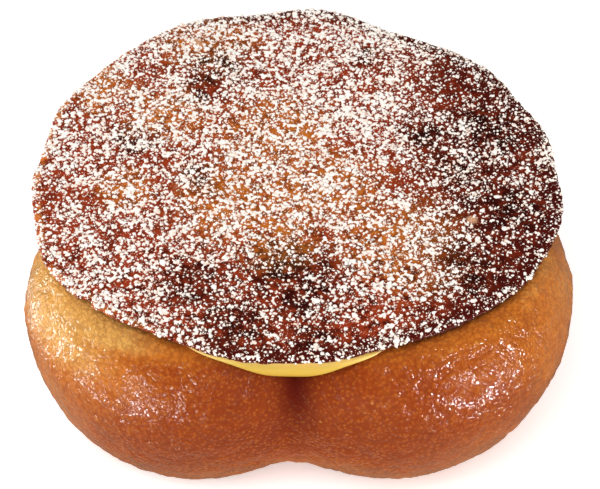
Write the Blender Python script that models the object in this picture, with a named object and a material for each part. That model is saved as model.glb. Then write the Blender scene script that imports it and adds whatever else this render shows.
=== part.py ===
"""A sweet potato doughnut: a four-lobed fried bun, yellow cream on it and a thin caramelised disc on top.

Metres, +Z up. The doughnut stands on its flat base with the origin at the middle of its footprint,
and one of the four creases between its lobes faces -Y.
"""

import math
import random

import bmesh
import bpy
from mathutils import Matrix, Vector, noise

MM = 0.001

# Bun: four round lobes grown together
BELLY_HEIGHT = 21.6 * MM
LOWER_HALF = 27.9 * MM
UPPER_HALF = 18.5 * MM
LOBE_BLEND = 3.2 * MM
LOBES = (  # azimuth in degrees, how far its centre is from the axis, radius at the belly
    (-136.2, 20.6 * MM, 26.4 * MM),
    (-41.6, 19.3 * MM, 28.2 * MM),
    (46.0, 18.9 * MM, 26.2 * MM),
    (134.0, 19.1 * MM, 26.4 * MM),
)
CREST_HEIGHT = 32.9 * MM
VALLEY_DIP = 4.2 * MM
VALLEY_WIDTH = 11.0 * MM
DISH_DEPTH = 2.4 * MM
DISH_RIM = 0.3 * MM
SHOULDER_DROP = 1.5 * MM
SHOULDER_REACH = 4.6 * MM
SHOULDER_CORNER = (1.4 * MM, 0.3 * MM)
FOOT_ROUND = 2.6 * MM
FOOT_SLOPE = 0.93
FOOT_REACH = 2.1
CREASE_DEPTH = 1.5 * MM
CREASE_WIDTH = 3.4 * MM
CREASE_HEIGHT = 25.0 * MM
CREASE_FADE = 10.0 * MM
SKIN_UNEVENNESS = 0.35 * MM
SKIN_WAVELENGTH = 14.0 * MM
DOUGH_SEED = Vector((3.1, 7.7, 1.9))
BUN_SEGMENTS = 96
DISH_ROWS, SHOULDER_ROWS, UPPER_ROWS, LOWER_ROWS, FOOT_ROWS, BASE_ROWS = 5, 5, 4, 7, 2, 1
RIDGE_ROW = DISH_ROWS - 1

# Caramelised disc
DISC_CENTRE = Vector((-0.15 * MM, 0.45 * MM, 0))
DISC_RADIUS = 40.7 * MM
DISC_TOP = 34.9 * MM
DISC_THICKNESS = 1.5 * MM
RIM_ROUND = 0.6 * MM
RIM_DROP = 0.2 * MM
RIM_WAVES = (  # waves round the rim, how far each moves it, angle of its crest in degrees
    (2, 0.28 * MM, -17.0),
    (3, 0.77 * MM, -20.0),
    (4, 0.12 * MM, 29.0),
    (5, 0.12 * MM, -17.0),
    (6, 0.35 * MM, -28.0),
    (8, 0.17 * MM, -9.0),
    (9, 0.20 * MM, 2.0),
    (10, 0.17 * MM, 9.5),
    (11, 0.25 * MM, -15.0),
    (15, 0.18 * MM, -11.0),
)
RIM_SWELL = 1.1 * MM
SWELL_AZIMUTH = math.radians(-98)
SWELL_WIDTH = math.radians(8)
WARP_COUNT = 3
WARP_RISE = 0.25 * MM
WARP_TURN = math.radians(-19)
WARP_POWER = 3
RIM_DROP_POWER = 6
RELIEF = 0.16 * MM
RELIEF_WAVELENGTH = 4.5 * MM
DISC_SEED = Vector((9.3, 2.2, 5.4))
DISC_SEGMENTS = 88
DISC_TOP_ROWS, RIM_ROWS, DISC_UNDER_ROWS = 10, 3, 2

# Cream between them, which fills the dish and swells out over the dips in its ridge
GAP = 0.3 * MM
LIP_DROP = 0.8 * MM
LIP_WAVE = 0.35 * MM
LIP_WAVES = 9
LIP_SPREAD = 0.17
LIP_REACH = 2.4 * MM
LIP_OVERHANG = 1.6 * MM
LIP_SAG = 0.3
CREAM_CLEARANCE = 0.4 * MM
CREAM_TOP_ROWS, LIP_ROWS, LIP_UNDER_ROWS = 1, 4, 4

# Largest clumps of the sugar that is dusted over the disc
CLUMPS = 112
CLUMP_WIDTH = (1.0 * MM, 1.7 * MM)
CLUMP_BULGES = (0.75, 1.15)
CLUMP_NARROWING = (0.6, 1.0)
CLUMP_RISE = 0.4
CLUMP_MARGIN = 2.0 * MM
CLUMP_STRAY = 0.8 * MM
CLUMP_SEED = 11

# Colour and roughness of each material
FRIED_DOUGH = ((0.42, 0.15, 0.035, 1.0), 0.45)
YELLOW_CREAM = ((0.83, 0.55, 0.10, 1.0), 0.35)
CARAMEL = ((0.20, 0.045, 0.018, 1.0), 0.5)


def clear_scene():
    for item in list(bpy.data.objects):
        bpy.data.objects.remove(item, do_unlink=True)


def finish_material(name, color, roughness):
    material = bpy.data.materials.new(name)
    material.use_nodes = True
    shader = material.node_tree.nodes["Principled BSDF"]
    shader.inputs["Base Color"].default_value = color
    shader.inputs["Roughness"].default_value = roughness
    shader.inputs["Metallic"].default_value = 0.0
    return material


def steps(count):
    """The shares 1/count, 2/count and so on up to 1."""
    return [(step + 1) / count for step in range(count)]


def blend(start, end, share):
    return start + (end - start) * share


def bend(start, corner, end, share):
    """Point at share along the curve that leaves start towards corner and reaches end coming from it."""
    first = blend(Vector(start), Vector(corner), share)
    second = blend(Vector(corner), Vector(end), share)
    return tuple(blend(first, second, share))


def ease(share):
    """Share kept between 0 and 1, with a soft start and end."""
    kept = max(0.0, min(1.0, share))
    return kept * kept * (3 - 2 * kept)


def at_azimuth(azimuth, reach, height=0.0):
    return Vector((reach * math.cos(azimuth), reach * math.sin(azimuth), height))


def lobe_reaches(azimuth, height):
    """How far each lobe reaches from the axis at that azimuth and height, the furthest first."""
    half = LOWER_HALF if height < BELLY_HEIGHT else UPPER_HALF
    shrink = math.sqrt(max(1 - ((height - BELLY_HEIGHT) / half) ** 2, 0.0))
    reaches = []
    for lobe_azimuth, offset, radius in LOBES:
        turn = azimuth - math.radians(lobe_azimuth)
        aside = offset * math.sin(turn)
        reaches.append(offset * math.cos(turn) + math.sqrt(max((radius * shrink) ** 2 - aside**2, 0.0)))
    return sorted(reaches, reverse=True)


def valley_share(azimuth, width):
    """1 on the line between two lobes, falling to 0 on either side of it."""
    first, second = lobe_reaches(azimuth, BELLY_HEIGHT)[:2]
    return math.exp(-(((first - second) / width) ** 2))


def bun_reach(azimuth, height):
    """How far the dough reaches from the axis: the lobes flow into each other, with a crease between."""
    reaches = lobe_reaches(azimuth, height)
    union = reaches[0] + LOBE_BLEND * math.log(sum(math.exp((r - reaches[0]) / LOBE_BLEND) for r in reaches))
    crease = CREASE_DEPTH * math.exp(-(((height - CREASE_HEIGHT) / CREASE_FADE) ** 2))
    unevenness = noise.noise(at_azimuth(azimuth, union, height) / SKIN_WAVELENGTH + DOUGH_SEED)
    return union - crease * valley_share(azimuth, CREASE_WIDTH) + SKIN_UNEVENNESS * unevenness


def crest_height(azimuth):
    """Height of the ridge round the bun's dished top, which dips between the lobes."""
    return CREST_HEIGHT - VALLEY_DIP * valley_share(azimuth, VALLEY_WIDTH)


def bun_upper_line(azimuth):
    """(reach, height) from the middle of the dished top, over the ridge round it and down to the belly."""
    crest = crest_height(azimuth)
    middle = CREST_HEIGHT - DISH_DEPTH
    flank = crest - SHOULDER_DROP
    flank_reach = bun_reach(azimuth, flank)
    rim = (flank_reach - SHOULDER_REACH, crest - DISH_RIM)
    corner = (flank_reach - SHOULDER_CORNER[0], crest + SHOULDER_CORNER[1])
    line = [(rim[0] * share, blend(middle, rim[1], share**2)) for share in steps(DISH_ROWS)]
    line += [bend(rim, corner, (flank_reach, flank), share) for share in steps(SHOULDER_ROWS)]
    for share in steps(UPPER_ROWS):
        height = blend(flank, BELLY_HEIGHT, share)
        line.append((bun_reach(azimuth, height), height))
    return line


def bun_line(azimuth):
    """(reach, height) of every row of the bun, from beside the top's middle to beside the base's middle."""
    line = bun_upper_line(azimuth)
    for share in steps(LOWER_ROWS):
        height = blend(BELLY_HEIGHT, FOOT_ROUND, share)
        line.append((bun_reach(azimuth, height), height))
    foot = line[-1]
    corner = (foot[0] - FOOT_SLOPE * FOOT_ROUND, 0.0)
    landing = (foot[0] - FOOT_REACH * FOOT_ROUND, 0.0)
    line += [bend(foot, corner, landing, share) for share in steps(FOOT_ROWS)]
    line += [(landing[0] * (1 - share), 0.0) for share in steps(BASE_ROWS + 1)[:-1]]
    return line


def rim_reach(azimuth):
    """Radius of the disc's uneven rim."""
    waves = sum(size * math.cos(count * (azimuth - math.radians(crest))) for count, size, crest in RIM_WAVES)
    swell = RIM_SWELL * math.exp(2 * (math.cos(azimuth - SWELL_AZIMUTH) - 1) / SWELL_WIDTH**2)
    return DISC_RADIUS + waves + swell


def disc_warp(azimuth, share):
    """How far the disc lifts at share of its radius: only its outer part curls."""
    return WARP_RISE * math.sin(WARP_COUNT * (azimuth - WARP_TURN)) * share**WARP_POWER


def disc_surface(azimuth, share):
    """Height of the disc's top at share of its radius."""
    place = at_azimuth(azimuth, DISC_RADIUS * share) / RELIEF_WAVELENGTH + DISC_SEED
    relief = RELIEF * (noise.noise(place) - 1)
    return DISC_TOP + relief + disc_warp(azimuth, share) - RIM_DROP * share**RIM_DROP_POWER


def disc_line(azimuth):
    """(reach, height) of every row of the disc, from the top's middle round the rim to under its middle."""
    reach = rim_reach(azimuth)
    inner = reach - RIM_ROUND
    under = DISC_TOP - DISC_THICKNESS
    line = [(inner * share, disc_surface(azimuth, share)) for share in steps(DISC_TOP_ROWS)]
    start, end = line[-1], (inner, under + WARP_RISE + disc_warp(azimuth, 1.0))
    corner = (reach + RIM_ROUND, (start[1] + end[1]) / 2)
    line += [bend(start, corner, end, share) for share in steps(RIM_ROWS)]
    line += [(inner * (1 - share), blend(end[1], under, share)) for share in steps(DISC_UNDER_ROWS)[:-1]]
    return line


def point_beside_line(line, place, distance):
    """The point that far out from a line of (reach, height) pairs, at a row that may lie between two."""
    row = min(int(place), len(line) - 2)
    start, end = Vector(line[row]), Vector(line[row + 1])
    along = (end - start).normalized()
    return tuple(blend(start, end, place - row) + Vector((-along.y, along.x)) * distance)


def lip_share(azimuth):
    """1 where the cream swells right out between two lobes, 0 where the bun's ridge hides it."""
    return ease(valley_share(azimuth, VALLEY_WIDTH) / LIP_SPREAD)


def cream_edge(azimuth, line):
    """Row of the bun's upper line where the cream ends: on the ridge at a lobe, past it at a dip."""
    height = crest_height(azimuth) - LIP_DROP + LIP_WAVE * math.sin(LIP_WAVES * azimuth)
    row = min(row for row in range(DISH_ROWS, len(line)) if line[row][1] <= height)
    above, below = line[row - 1][1], line[row][1]
    return blend(RIDGE_ROW, row - 1 + (above - height) / (above - below), lip_share(azimuth))


def cream_line(azimuth):
    """(reach, height) of each row of the cream, from its top's middle over its lip and back along the bun."""
    bun = bun_upper_line(azimuth)
    end = cream_edge(azimuth, bun)
    foot = point_beside_line(bun, end, CREAM_CLEARANCE)
    lip = lip_share(azimuth)
    ceiling = DISC_TOP - DISC_THICKNESS - GAP
    top = (min(foot[0] + LIP_REACH * lip, DISC_RADIUS - LIP_REACH), ceiling)
    corner = (top[0] + LIP_OVERHANG * lip, blend(foot[1], ceiling, LIP_SAG))
    line = [(top[0] * share, ceiling) for share in steps(CREAM_TOP_ROWS)]
    line += [bend(top, corner, foot, share) for share in steps(LIP_ROWS)]
    back = [blend(end, RIDGE_ROW, share) for share in steps(LIP_UNDER_ROWS)]
    back += list(range(RIDGE_ROW))[::-1]
    line += [point_beside_line(bun, place, CREAM_CLEARANCE) for place in back]
    return line


def turned_body(name, collection, segments, line_at, middle_heights, material):
    """A ball whose rows take the places of line_at(azimuth) and whose poles sit at middle_heights."""
    rows = len(line_at(0.0)) + 1
    lines = [line_at(segment / segments * math.tau) for segment in range(segments)]
    body = bmesh.new()
    bmesh.ops.create_uvsphere(body, u_segments=segments, v_segments=rows, radius=1.0)
    for vertex in body.verts:
        row = round(math.acos(max(-1.0, min(1.0, vertex.co.z))) / math.pi * rows)
        if row in (0, rows):
            vertex.co = Vector((0, 0, middle_heights[row // rows]))
            continue
        segment = round(math.atan2(vertex.co.y, vertex.co.x) / math.tau * segments) % segments
        vertex.co = at_azimuth(segment / segments * math.tau, *lines[segment][row - 1])
    mesh = bpy.data.meshes.new(name)
    body.to_mesh(mesh)
    body.free()
    mesh.shade_smooth()
    mesh.materials.append(material)
    made = bpy.data.objects.new(name, mesh)
    collection.objects.link(made)
    return made


def make_bun(collection):
    dough = finish_material("fried_dough", *FRIED_DOUGH)
    return turned_body("bun", collection, BUN_SEGMENTS, bun_line, (CREST_HEIGHT - DISH_DEPTH, 0.0), dough)


def make_cream(collection):
    custard = finish_material("yellow_cream", *YELLOW_CREAM)
    middles = (DISC_TOP - DISC_THICKNESS - GAP, CREST_HEIGHT - DISH_DEPTH + CREAM_CLEARANCE)
    return turned_body("cream", collection, BUN_SEGMENTS, cream_line, middles, custard)


def make_disc(collection):
    caramel = finish_material("caramel", *CARAMEL)
    middles = (disc_surface(0.0, 0.0), DISC_TOP - DISC_THICKNESS)
    disc = turned_body("caramel_disc", collection, DISC_SEGMENTS, disc_line, middles, caramel)
    disc.data.transform(Matrix.Translation(DISC_CENTRE))
    return disc


def add_clump(collection, draw, azimuth, share):
    """A low lump of sugar with a few flat sides, half sunk in the disc."""
    lump = bmesh.new()
    bmesh.ops.create_icosphere(lump, subdivisions=1, radius=draw.uniform(*CLUMP_WIDTH) / 2)
    for vertex in lump.verts:
        vertex.co *= draw.uniform(*CLUMP_BULGES)
    flatten = Matrix.Diagonal((1.0, draw.uniform(*CLUMP_NARROWING), CLUMP_RISE, 1.0))
    turn = Matrix.Rotation(draw.uniform(0, math.tau), 4, "Z")
    reach = (rim_reach(azimuth) - CLUMP_MARGIN) * share
    place = DISC_CENTRE + at_azimuth(azimuth, reach, disc_surface(azimuth, reach / DISC_RADIUS))
    bmesh.ops.transform(lump, matrix=Matrix.Translation(place) @ turn @ flatten, verts=lump.verts)
    mesh = bpy.data.meshes.new("sugar_clump")
    lump.to_mesh(mesh)
    lump.free()
    collection.objects.link(bpy.data.objects.new("sugar_clump", mesh))


def fuse_sugar_clumps(disc, loose):
    """Spreads the clumps evenly along a sunflower spiral and joins them to the disc."""
    draw = random.Random(CLUMP_SEED)
    golden_angle = math.pi * (3 - math.sqrt(5))
    for number in range(CLUMPS):
        share = math.sqrt((number + 0.5) / CLUMPS)
        stray = CLUMP_STRAY / DISC_RADIUS
        azimuth = number * golden_angle + draw.uniform(-stray, stray) / share
        add_clump(loose, draw, azimuth, min(1.0, share + draw.uniform(-stray, stray)))
    union = disc.modifiers.new("sugar", "BOOLEAN")
    union.operation = "UNION"
    union.operand_type = "COLLECTION"
    union.collection = loose
    union.solver = "MANIFOLD"
    bpy.context.view_layer.update()
    joined = bpy.data.meshes.new_from_object(disc.evaluated_get(bpy.context.evaluated_depsgraph_get()))
    disc.modifiers.clear()
    disc.data = joined
    for lump in list(loose.objects):
        bpy.data.objects.remove(lump, do_unlink=True)


def centre_on_footprint(pieces):
    """Moves the pieces so that the middle of the whole's outline is over the origin."""
    points = [vertex.co for piece in pieces for vertex in piece.data.vertices]
    shift = Vector((0, 0, 0))
    for axis in (0, 1):
        shift[axis] = -(max(p[axis] for p in points) + min(p[axis] for p in points)) / 2
    for piece in pieces:
        piece.data.transform(Matrix.Translation(shift))


def build_doughnut():
    clear_scene()
    collection = bpy.data.collections.new("sweet_potato_doughnut")
    loose = bpy.data.collections.new("loose_sugar")
    bpy.context.scene.collection.children.link(collection)
    bpy.context.scene.collection.children.link(loose)
    bun = make_bun(collection)
    cream = make_cream(collection)
    disc = make_disc(collection)
    fuse_sugar_clumps(disc, loose)
    bpy.data.collections.remove(loose)
    centre_on_footprint([bun, cream, disc])


build_doughnut()
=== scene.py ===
"""Sweet potato doughnut: a four-lobed fried bun, yellow cream and a thin caramelised disc dusted with sugar.

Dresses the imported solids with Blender. Metres, +Z up, in the frame of the solids.
"""

import math
import random

import bmesh
import bpy
from bpy.props import FloatProperty, FloatVectorProperty, IntProperty, PointerProperty
from mathutils import Matrix, Vector, noise
from mathutils.bvhtree import BVHTree


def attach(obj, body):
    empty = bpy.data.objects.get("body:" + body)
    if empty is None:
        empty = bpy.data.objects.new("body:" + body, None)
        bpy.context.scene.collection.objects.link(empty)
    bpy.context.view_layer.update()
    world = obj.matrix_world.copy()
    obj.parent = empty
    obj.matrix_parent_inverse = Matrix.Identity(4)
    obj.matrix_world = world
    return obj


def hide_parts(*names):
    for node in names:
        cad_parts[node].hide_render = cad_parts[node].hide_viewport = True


bl_info = {
    "name": "Sweet Potato Doughnut",
    "version": (1, 0, 0),
    "blender": (4, 5, 0),
    "location": "3D View > Sidebar > Doughnut",
    "description": "Makes a lobed fried doughnut with yellow cream and a sugared caramel disc",
    "category": "Object",
}

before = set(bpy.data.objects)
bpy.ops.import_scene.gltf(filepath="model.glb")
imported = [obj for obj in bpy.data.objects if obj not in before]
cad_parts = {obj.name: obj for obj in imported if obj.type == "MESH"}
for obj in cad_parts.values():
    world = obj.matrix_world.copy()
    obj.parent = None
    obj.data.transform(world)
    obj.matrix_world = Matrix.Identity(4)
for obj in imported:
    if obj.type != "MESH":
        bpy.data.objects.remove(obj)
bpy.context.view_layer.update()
MM = 0.001
FOOTPRINT_SHIFT = Vector((-0.679, -0.684, 0)) * MM
DISC_CENTRE = (-0.829 * MM, -0.234 * MM, 0.0)

# The bun's four lobes: azimuth in degrees, how far its centre is from the axis, radius at the belly
LOBES = (
    (-136.2, 20.6 * MM, 26.4 * MM),
    (-41.6, 19.3 * MM, 28.2 * MM),
    (46.0, 18.9 * MM, 26.2 * MM),
    (134.0, 19.1 * MM, 26.4 * MM),
)
DOUGH_SEED = Vector((3.1, 7.7, 1.9))

# Waves round the disc's rim: how many, how far each moves it, angle of its crest in degrees
RIM_WAVES = (
    (2, 0.28 * MM, -17.0),
    (3, 0.77 * MM, -20.0),
    (4, 0.12 * MM, 29.0),
    (5, 0.12 * MM, -17.0),
    (6, 0.35 * MM, -28.0),
    (8, 0.17 * MM, -9.0),
    (9, 0.20 * MM, 2.0),
    (10, 0.17 * MM, 9.5),
    (11, 0.25 * MM, -15.0),
    (15, 0.18 * MM, -11.0),
)
SWELL_AZIMUTH = math.radians(-98)
SWELL_WIDTH = math.radians(8)
WARP_WAVES, WARP_TURN = 3.0, math.radians(19)

# Shares of the disc's rows, counted from the top's middle, where its top ends and where its rim ends
TOP_END, RIM_END = 0.84, 0.92

# Patches on the disc: x and y from its middle and radius, all in mm
BURNT_SPOTS = (
    (-13.0, 26.0, 5.0), (-15.5, 20.0, 3.0), (-25.0, 8.0, 3.6), (-14.5, -1.0, 2.6), (20.5, 9.0, 4.5),
    (25.0, 2.0, 4.5), (-0.5, -22.0, 6.0), (2.5, -27.0, 5.0), (-8.0, -33.0, 5.0), (27.0, -22.0, 4.5),
    (31.0, 10.0, 5.0), (33.0, -8.0, 5.0), (11.5, 29.0, 3.0), (-15.0, -24.0, 5.0), (3.0, -21.0, 4.0),
    (3.0, -37.5, 3.5),
)
AMBER_SPOTS = (
    (-8.0, -6.0, 9.0), (5.0, -3.0, 8.0), (17.0, -16.0, 9.0), (-31.0, 21.0, 5.0), (-3.0, 10.0, 8.0),
    (-20.0, 14.0, 6.0), (-2.0, -15.0, 6.0), (-14.0, 32.0, 7.0), (-26.0, -4.0, 4.0),
)
PALE_BLISTERS = ((27.0, -10.5, 0.8), (-16.0, 32.0, 1.0))
BARE_SPOTS = (
    (34.0, -9.0, 10.0), (-1.0, -23.0, 9.0), (-15.0, -24.0, 5.0), (32.0, 12.0, 7.0), (31.0, -20.0, 8.0),
    (-8.0, -35.0, 6.0), (9.0, -35.0, 5.0), (23.0, -31.0, 7.0), (22.0, 9.0, 4.0), (18.0, -1.0, 4.0),
    (27.0, -10.5, 1.2), (-16.0, 32.0, 1.2), (26.0, 20.0, 8.0), (1.0, -38.0, 5.0), (-39.0, -7.0, 4.0),
    (-14.5, 21.5, 3.0), (-30.0, -5.5, 2.5), (-22.0, 3.5, 2.2), (-24.0, 24.0, 2.2),
)
RICH_SPOTS = ((1.0, 28.0, 6.0), (9.0, 15.0, 7.0))
RIM_NOTCHES = ((-30.2, -27.3, 0.9),)

# The large clumps lie as those of the solid do: seed, how far each strays, how far inside the rim they end
CLUMP_SEED, CLUMP_STRAY, CLUMP_MARGIN = 11, 0.8 * MM, 2.0 * MM
CLUMP_GRAIN, CLUMP_ROUGHNESS_MM = 0.35 * MM, 0.09
LUMP_SHAPES = 6
DUST_STRAY, DUST_STEEPNESS, DUST_SUNK = 0.05 * MM, 0.0012, 0.09 * MM

# Heights from which the disc's top is looked for, well above it
CLUMP_DROP, DUST_DROP, DUST_RAY = 0.05, 0.06, 0.1

# Inputs of the trees that are named as the settings that fill them
CRUST_SIZES = ("Lump height", "Lump width", "Wrinkle depth", "Wrinkle width", "Pebble height", "Pebble width")
DISC_SIZES = (
    "Radius", "Top", "Thickness", "Rim round", "Rim drop", "Warp rise", "Relief", "Relief width",
    "Blister rise", "Blister width", "Rim bite", "Notch", "Rim swell", "Pale blister rise",
)

# The point that the camera looks at, and the flank that the left glint falls on
VIEW_MIDDLE = Vector((0.09, -0.684, 20.28)) * MM
LEFT_FLANK = Vector((-38, -9, 22)) * MM


def shade(red, green, blue):
    """The linear colour that shaders use, from the colour on screen, 0 to 255 for each part."""
    parts = (part / 255 for part in (red, green, blue))
    return tuple(p / 12.92 if p <= 0.04045 else ((p + 0.055) / 1.055) ** 2.4 for p in parts) + (1.0,)


def number(name, description, default, **kind):
    return FloatProperty(name=name, description=description, default=default, **kind)


def length(name, description, millimetres):
    return number(name, description, millimetres * MM, subtype="DISTANCE", unit="LENGTH", precision=5)


def share(name, description, default):
    return number(name, description, default, min=0.0, max=1.0, subtype="FACTOR")


def angle(name, description, degrees):
    return number(name, description, math.radians(degrees), subtype="ANGLE")


def colour(name, description, on_screen):
    kind = {"size": 4, "min": 0.0, "max": 1.0, "subtype": "COLOR"}
    return FloatVectorProperty(name=name, description=description, default=shade(*on_screen), **kind)


def whole(name, description, default, **kind):
    return IntProperty(name=name, description=description, default=default, **kind)


def count(name, description, default):
    return whole(name, description, default, min=3)


class BunSettings(bpy.types.PropertyGroup):
    belly_height: length("Belly height", "Height of the widest part of the lobes", 21.6)
    lower_half: length("Lower half", "How far the lobes round in below the belly", 27.9)
    upper_half: length("Upper half", "How far the lobes round in above the belly", 18.5)
    lobe_blend: length("Lobe blend", "How softly the lobes flow into each other", 3.2)
    crest_height: length("Crest height", "Height of the ridge round the dished top", 32.9)
    valley_dip: length("Valley dip", "How far the ridge dips between two lobes", 4.2)
    valley_width: length("Valley width", "Width of those dips", 11.0)
    crease_depth: length("Crease depth", "Depth of the crease between two lobes", 1.5)
    foot_round: length("Foot round", "Height over which the foot turns in to the flat base", 2.6)
    sides: count("Sides", "Points round the bun", 700)
    lump_height: length("Lump height", "Height of the broad lumps in the crust", 0.35)
    lump_width: length("Lump width", "Width of the broad lumps", 7.0)
    wrinkle_depth: length("Wrinkle depth", "Depth of the fine wrinkles in the crust", 0.85)
    wrinkle_width: length("Wrinkle width", "Width of the fine wrinkles", 2.4)
    pebble_height: length("Pebble height", "Height of the fine grain of the crust", 0.10)
    pebble_width: length("Pebble width", "Width of the fine grain", 0.8)
    # Painted shade in the creases
    crease_shade_brown: colour("Crease", "Dark brown in the creases", (86, 20, 13))
    deep_brown: colour("Deep brown", "Most fried parts", (114, 41, 17))
    orange_brown: colour("Orange brown", "Main colour of the crust", (144, 63, 21))
    golden: colour("Golden", "Less fried parts", (180, 102, 34))
    # Pale gold also carries the painted light under the rim, at the foot and at the ends
    pale_gold: colour("Pale gold", "Least fried parts, near the shoulder", (204, 152, 78))
    # Painted sheen: the pale tan laid low down and at the sides
    painted_sheen_tan: colour("Painted sheen tan", "Duller crust low down and at the sides", (214, 150, 100))
    gloss: share("Oil gloss", "Strength of the shine of the oil", 0.6)


class CreamSettings(bpy.types.PropertyGroup):
    smoothness: whole("Smoothness", "Times that the surface is refined", 2, min=1)
    light_yellow: colour("Light yellow", "Colour where the cream is thick", (214, 182, 84))
    # Deeper yellow in random patches, and painted shade low down where the cream folds under
    deep_and_shade_yellow: colour("Deep yellow", "Colour in its folds", (204, 158, 46))
    # Painted light close under the disc, where its shadow falls
    painted_light_yellow: colour("Warm yellow", "Colour close under the disc", (255, 206, 120))


class DiscSettings(bpy.types.PropertyGroup):
    centre: FloatVectorProperty(
        name="Centre", description="Middle of the disc", default=DISC_CENTRE, subtype="XYZ", unit="LENGTH"
    )
    radius: length("Radius", "Mean radius of the wavy rim", 40.7)
    top: length("Top height", "Height of the disc's top", 34.9)
    thickness: length("Thickness", "Thickness of the disc", 1.5)
    rim_round: length("Rim round", "How far the rim is rounded", 0.9)
    rim_drop: length("Rim drop", "How far the top falls towards the rim", 0.2)
    warp_rise: length("Warp rise", "How far the outer part curls up and down", 0.25)
    relief: length("Relief", "Depth of the broad unevenness", 0.16)
    relief_width: length("Relief width", "Width of the broad unevenness", 4.5)
    blister_rise: length("Blister rise", "Height of the fine blisters", 0.16)
    blister_width: length("Blister width", "Distance between the fine blisters", 1.5)
    rim_bite: length("Rim bite", "Depth of the small bites in the rim", 0.3)
    notch: length("Notch", "Depth of the one notch in the rim", 0.7)
    rim_swell: length("Rim swell", "How far the rim swells out in front", 1.1)
    pale_blister_rise: length("Pale blister rise", "Height of the few pale blisters", 0.45)
    sides: count("Sides", "Points round the disc", 520)
    rows: count("Rows", "Rows of points from the top's middle to the underside's", 132)
    amber: colour("Amber", "Lightly caramelised parts", (194, 108, 36))
    red_brown: colour("Red brown", "Main colour of the caramel", (152, 54, 25))
    # Maroon is also laid on the rim's side as painted shade
    maroon: colour("Maroon", "Well caramelised parts", (70, 15, 10))
    burnt: colour("Burnt", "Nearly black spots", (40, 9, 7))
    pale_blister: colour("Pale blister", "The few blisters that stayed pale", (196, 146, 112))
    # Thin edge colour, laid partly as painted light through the edge on the left
    rim_gold: colour("Rim gold", "Thin light edge of the rim", (214, 124, 50))


class SugarSettings(bpy.types.PropertyGroup):
    clumps: count("Clumps", "Number of the largest clumps", 112)
    clump_least: length("Least clump", "Width of the smallest large clump", 0.8)
    clump_most: length("Largest clump", "Width of the largest clump", 1.45)
    grain_least: length("Least grain", "Width of the smallest grain", 0.30)
    grain_most: length("Largest grain", "Width of the largest grain", 0.88)
    grain_density: number("Grain density", "Grains on a square metre", 2.8e6, min=0.0)
    speck_least: length("Least speck", "Width of the smallest speck", 0.15)
    speck_most: length("Largest speck", "Width of the largest speck", 0.38)
    speck_density: number("Speck density", "Specks on a square metre", 5.4e6, min=0.0)
    drift_width: length("Drift width", "Width of the drifts in which the sugar lies", 3.0)
    dust_points: count("Dust points", "Points along each side of the dusted square", 720)
    dust_width: length("Dust width", "Distance between the small clumps of dusted sugar", 0.75)
    dust_rise: length("Dust rise", "Height of the thickest dusted sugar", 0.22)
    dust_cover: share("Dust cover", "How much of the disc the dusted sugar covers", 0.45)
    seed: whole("Seed", "Changes where every grain falls", 11)
    white: colour("White", "Colour of the sugar", (254, 250, 243))
    cream_white: colour("Cream white", "Colour where the sugar has drawn some oil", (230, 186, 156))


class StageSettings(bpy.types.PropertyGroup):
    view_height: angle("View height", "Camera's angle over the horizon", 43)
    view_distance: length("View distance", "From the camera to the doughnut", 450)
    lens: number("Lens", "Focal length of the camera in millimetres", 171.24)
    floor_size: length("Floor size", "Side of the square floor", 6000)
    floor_white: colour("Floor", "Colour of the floor", (250, 250, 250))
    floor_glow: number("Floor glow", "Light that the floor gives off", 0.42, min=0.0)
    sky: number("Sky", "Strength of the light from all round", 0.32, min=0.0)
    key_power: number("Side lights", "Power of the left light in watts", 0.5)
    shine_power: number("Shine", "Power in watts that the lights that only glint are measured by", 0.06)
    shine_beam: angle("Shine beam", "Angle of the beam of the lights that only glint", 46)
    top_power: number("Top light", "Power of the light overhead in watts", 3.9)


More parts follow.
